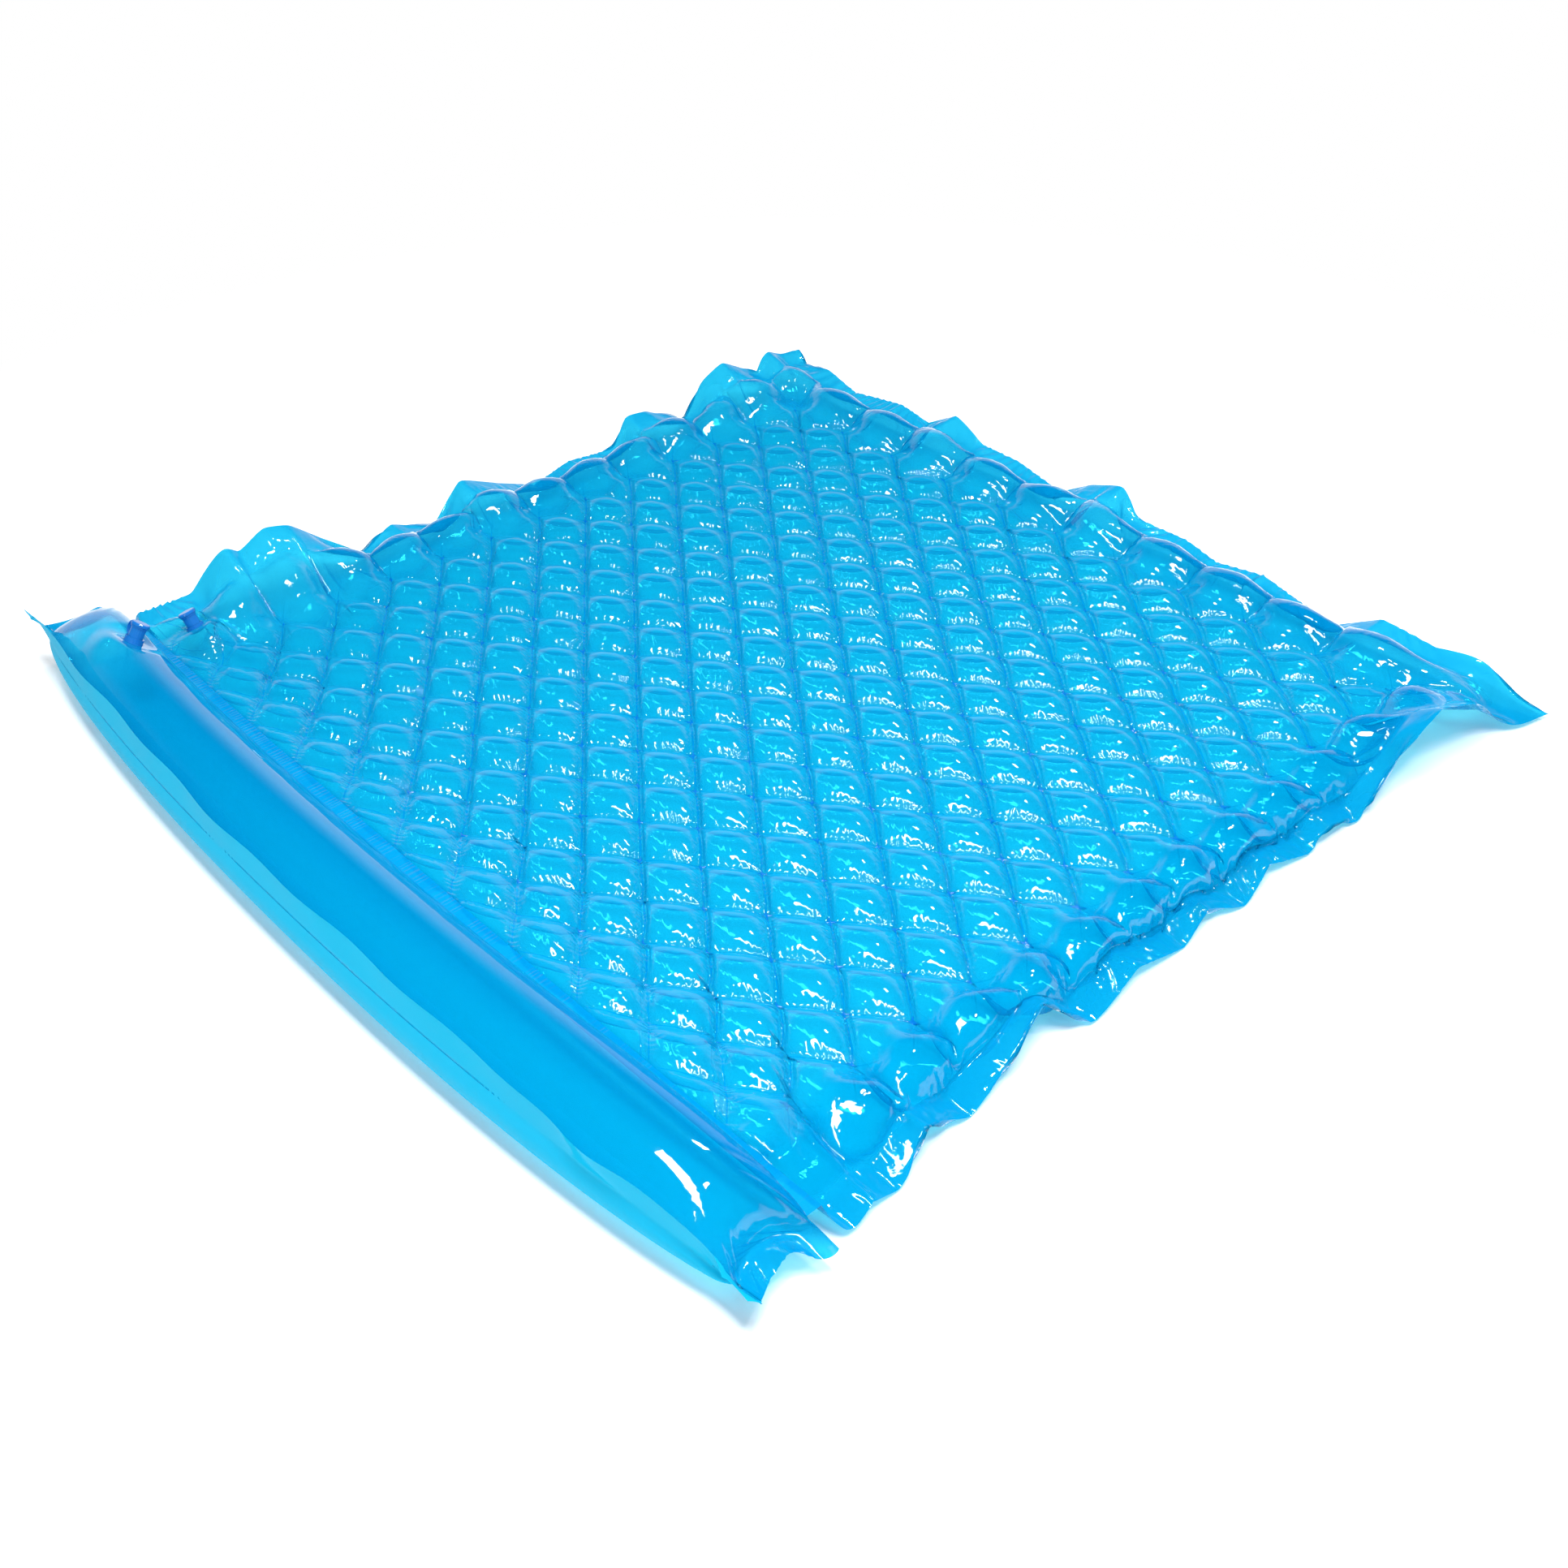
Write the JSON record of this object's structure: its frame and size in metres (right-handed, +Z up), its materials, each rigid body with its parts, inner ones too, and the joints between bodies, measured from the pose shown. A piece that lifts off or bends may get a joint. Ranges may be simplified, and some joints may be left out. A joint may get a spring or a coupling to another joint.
{
  "type": "pool air mattress",
  "caption": "Inflated pool mattress of clear blue film: a diamond-quilted mat with a ruffled welded edge, a folding pillow tube and push-in stem valves.",
  "frame": {"origin": "on the floor, under the middle of the mattress", "axes": "+X across the mattress along the pillow, away from the valves; +Y from the pillow to the foot; +Z up"},
  "size_m": [0.906, 0.8714, 0.0861],
  "materials": {
    "film": "clear blue calendered PVC film, glossy and slightly wrinkled",
    "moulding": "soft injection-moulded PVC, deeper blue, half gloss"
  },
  "bodies": {
    "mat": {"mat_top_sheet": "film", "mat_bottom_sheet": "film", "mat_valve_base": "moulding", "mat_valve_tether": "moulding"},
    "mat_stem": {"mat_valve_stem": "moulding"},
    "mat_plug": {"mat_valve_plug": "moulding"},
    "mat_flap": {"mat_valve_flap": "moulding"},
    "pillow": {"pillow_top_sheet": "film", "pillow_bottom_sheet": "film", "pillow_valve_base": "moulding", "pillow_valve_tether": "moulding"},
    "pillow_stem": {"pillow_valve_stem": "moulding"},
    "pillow_plug": {"pillow_valve_plug": "moulding"},
    "pillow_flap": {"pillow_valve_flap": "moulding"}
  },
  "joints": [
    {"name": "pillow_fold", "type": "hinge", "parent": "mat", "child": "pillow", "pos_m": [0, -0.34222, 0.04129], "axis": [-1, 0, 0], "range_deg": [0, 75]},
    {"name": "mat_stem_push", "type": "slide", "parent": "mat", "child": "mat_stem", "axis": [0.4351, 0.153, -0.8873], "range_m": [0, 0.008]},
    {"name": "mat_plug_pull", "type": "slide", "parent": "mat_stem", "child": "mat_plug", "axis": [-0.4351, -0.153, 0.8873], "range_m": [0, 0.012]},
    {"name": "mat_flap_open", "type": "hinge", "parent": "mat_stem", "child": "mat_flap", "pos_m": [-0.35899, -0.30025, 0.03856], "axis": [0, -0.9855, -0.1699], "range_deg": [0, 40], "stiffness_Nm_per_rad": 0.0003},
    {"name": "pillow_stem_push", "type": "slide", "parent": "pillow", "child": "pillow_stem", "axis": [0.0345, -0.6278, -0.7776], "range_m": [0, 0.008]},
    {"name": "pillow_plug_pull", "type": "slide", "parent": "pillow_stem", "child": "pillow_plug", "axis": [-0.0345, 0.6278, 0.7776], "range_m": [0, 0.012]},
    {"name": "pillow_flap_open", "type": "hinge", "parent": "pillow_stem", "child": "pillow_flap", "pos_m": [-0.32802, -0.3665, 0.06597], "axis": [0, -0.7781, 0.6282], "range_deg": [0, 40], "stiffness_Nm_per_rad": 0.0003}
  ]
}
